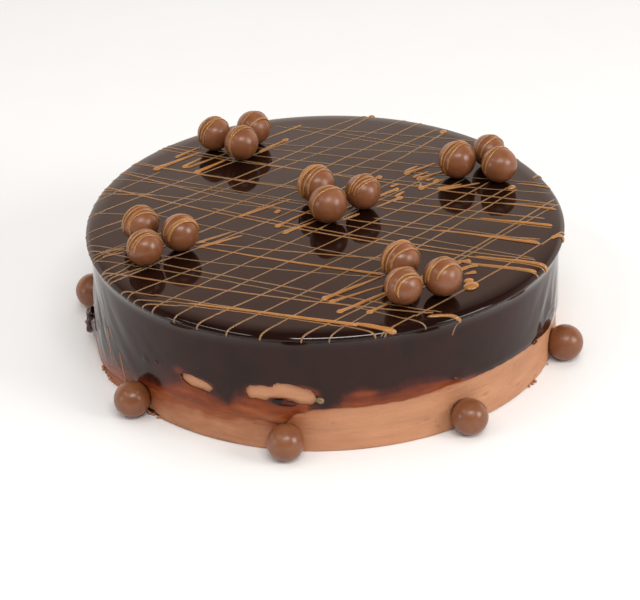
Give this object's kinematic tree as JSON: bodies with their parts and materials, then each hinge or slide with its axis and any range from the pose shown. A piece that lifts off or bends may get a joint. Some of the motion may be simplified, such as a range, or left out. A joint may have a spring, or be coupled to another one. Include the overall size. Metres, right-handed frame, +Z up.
{
  "type": "chocolate fudge cake",
  "caption": "Round uncut chocolate cake under a mirror glaze, with a piped drizzle lattice and chocolate balls on top and round its foot.",
  "frame": {"origin": "middle of the cake's flat underside", "axes": "+Z up through the cake; -Y is the side the picture looks at"},
  "size_m": [0.221, 0.2214, 0.0728],
  "materials": {
    "mousse": "soft matte chocolate mousse, smoothed with a scraper",
    "glaze": "dark mirror glaze with matte caramel drizzle",
    "chocolate_ball": "satin milk chocolate"
  },
  "bodies": {
    "root": {"mousse_cake": "mousse", "chocolate_glaze": "glaze", "top_ball_01": "chocolate_ball", "top_ball_02": "chocolate_ball", "top_ball_03": "chocolate_ball", "top_ball_04": "chocolate_ball", "top_ball_05": "chocolate_ball", "top_ball_06": "chocolate_ball", "top_ball_07": "chocolate_ball", "top_ball_08": "chocolate_ball", "top_ball_09": "chocolate_ball", "top_ball_10": "chocolate_ball", "top_ball_11": "chocolate_ball", "top_ball_12": "chocolate_ball", "top_ball_13": "chocolate_ball", "top_ball_14": "chocolate_ball", "top_ball_15": "chocolate_ball", "foot_ball_01": "chocolate_ball", "foot_ball_02": "chocolate_ball", "foot_ball_03": "chocolate_ball", "foot_ball_04": "chocolate_ball", "foot_ball_05": "chocolate_ball", "foot_ball_06": "chocolate_ball", "foot_ball_07": "chocolate_ball", "foot_ball_08": "chocolate_ball"}
  },
  "joints": []
}
